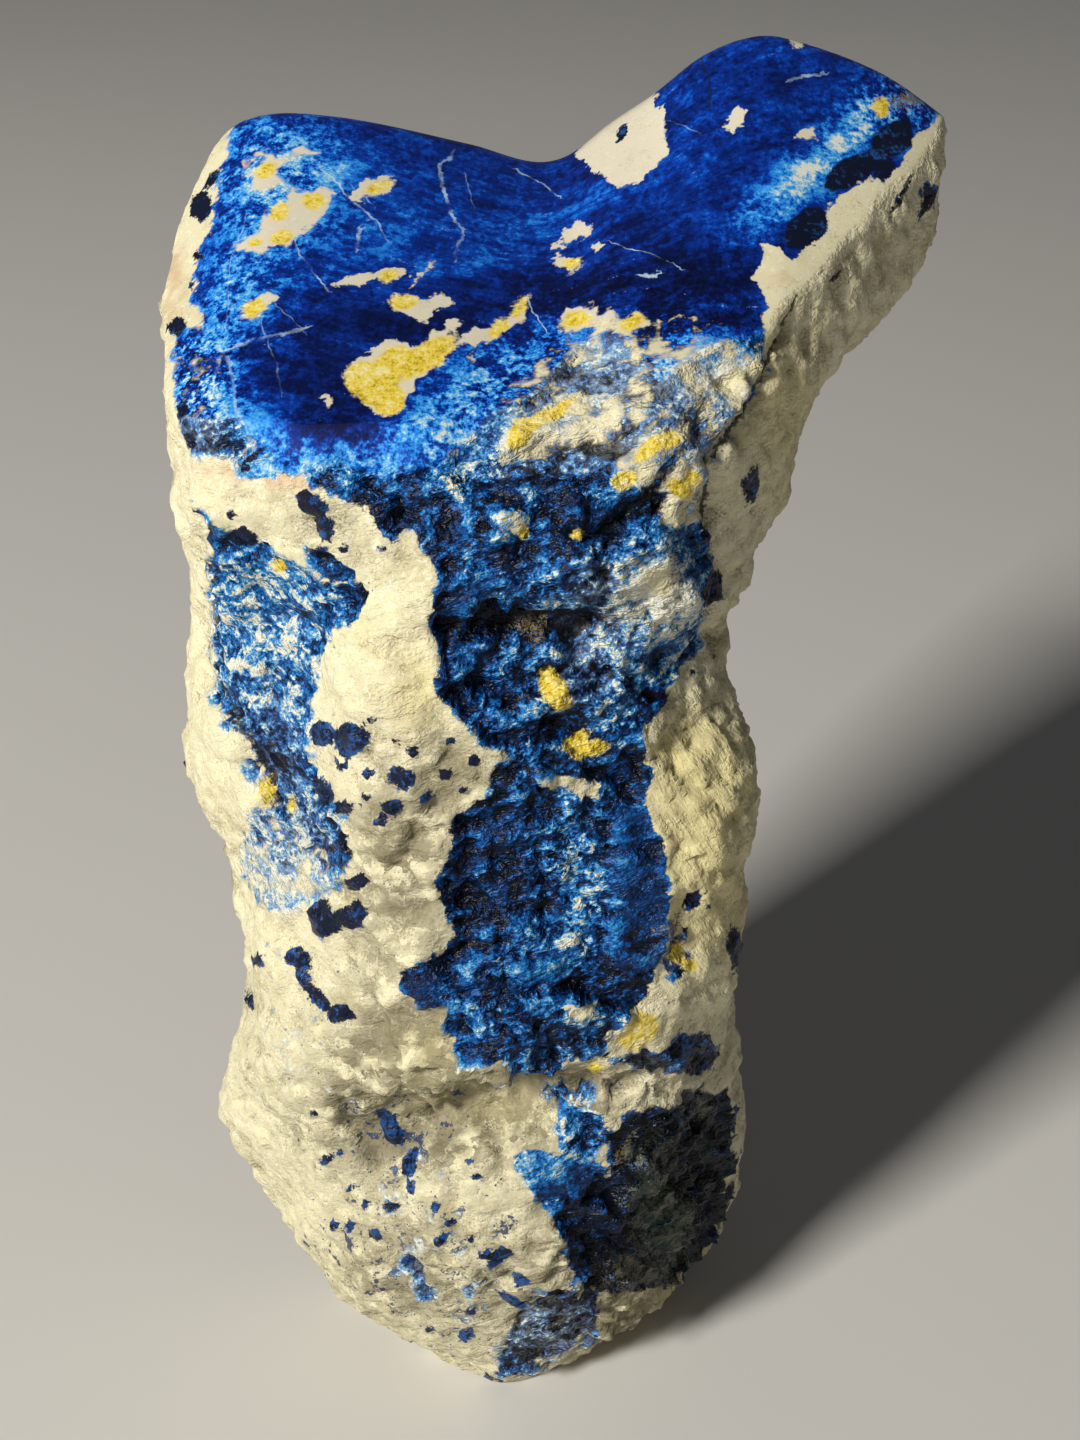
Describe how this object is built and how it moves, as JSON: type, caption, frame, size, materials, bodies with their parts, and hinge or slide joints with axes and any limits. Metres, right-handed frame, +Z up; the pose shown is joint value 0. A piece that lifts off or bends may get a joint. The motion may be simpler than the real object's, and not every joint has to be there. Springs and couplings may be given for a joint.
{
  "type": "rough lapis lazuli",
  "caption": "Standing piece of rough lapis lazuli: a pale calcite column seamed with blue, its top polished into a saddle that rises to a horn.",
  "frame": {"origin": "middle of the flat foot that the stone stands on", "axes": "+Z up the stone, +X towards the horn, -Y out of the blue-seamed front"},
  "size_m": [0.1148, 0.0779, 0.2124],
  "materials": {
    "stone": "rough broken calcite and lapis, the top ground and polished to a satin gloss"
  },
  "bodies": {
    "root": {"stone": "stone"}
  },
  "joints": []
}
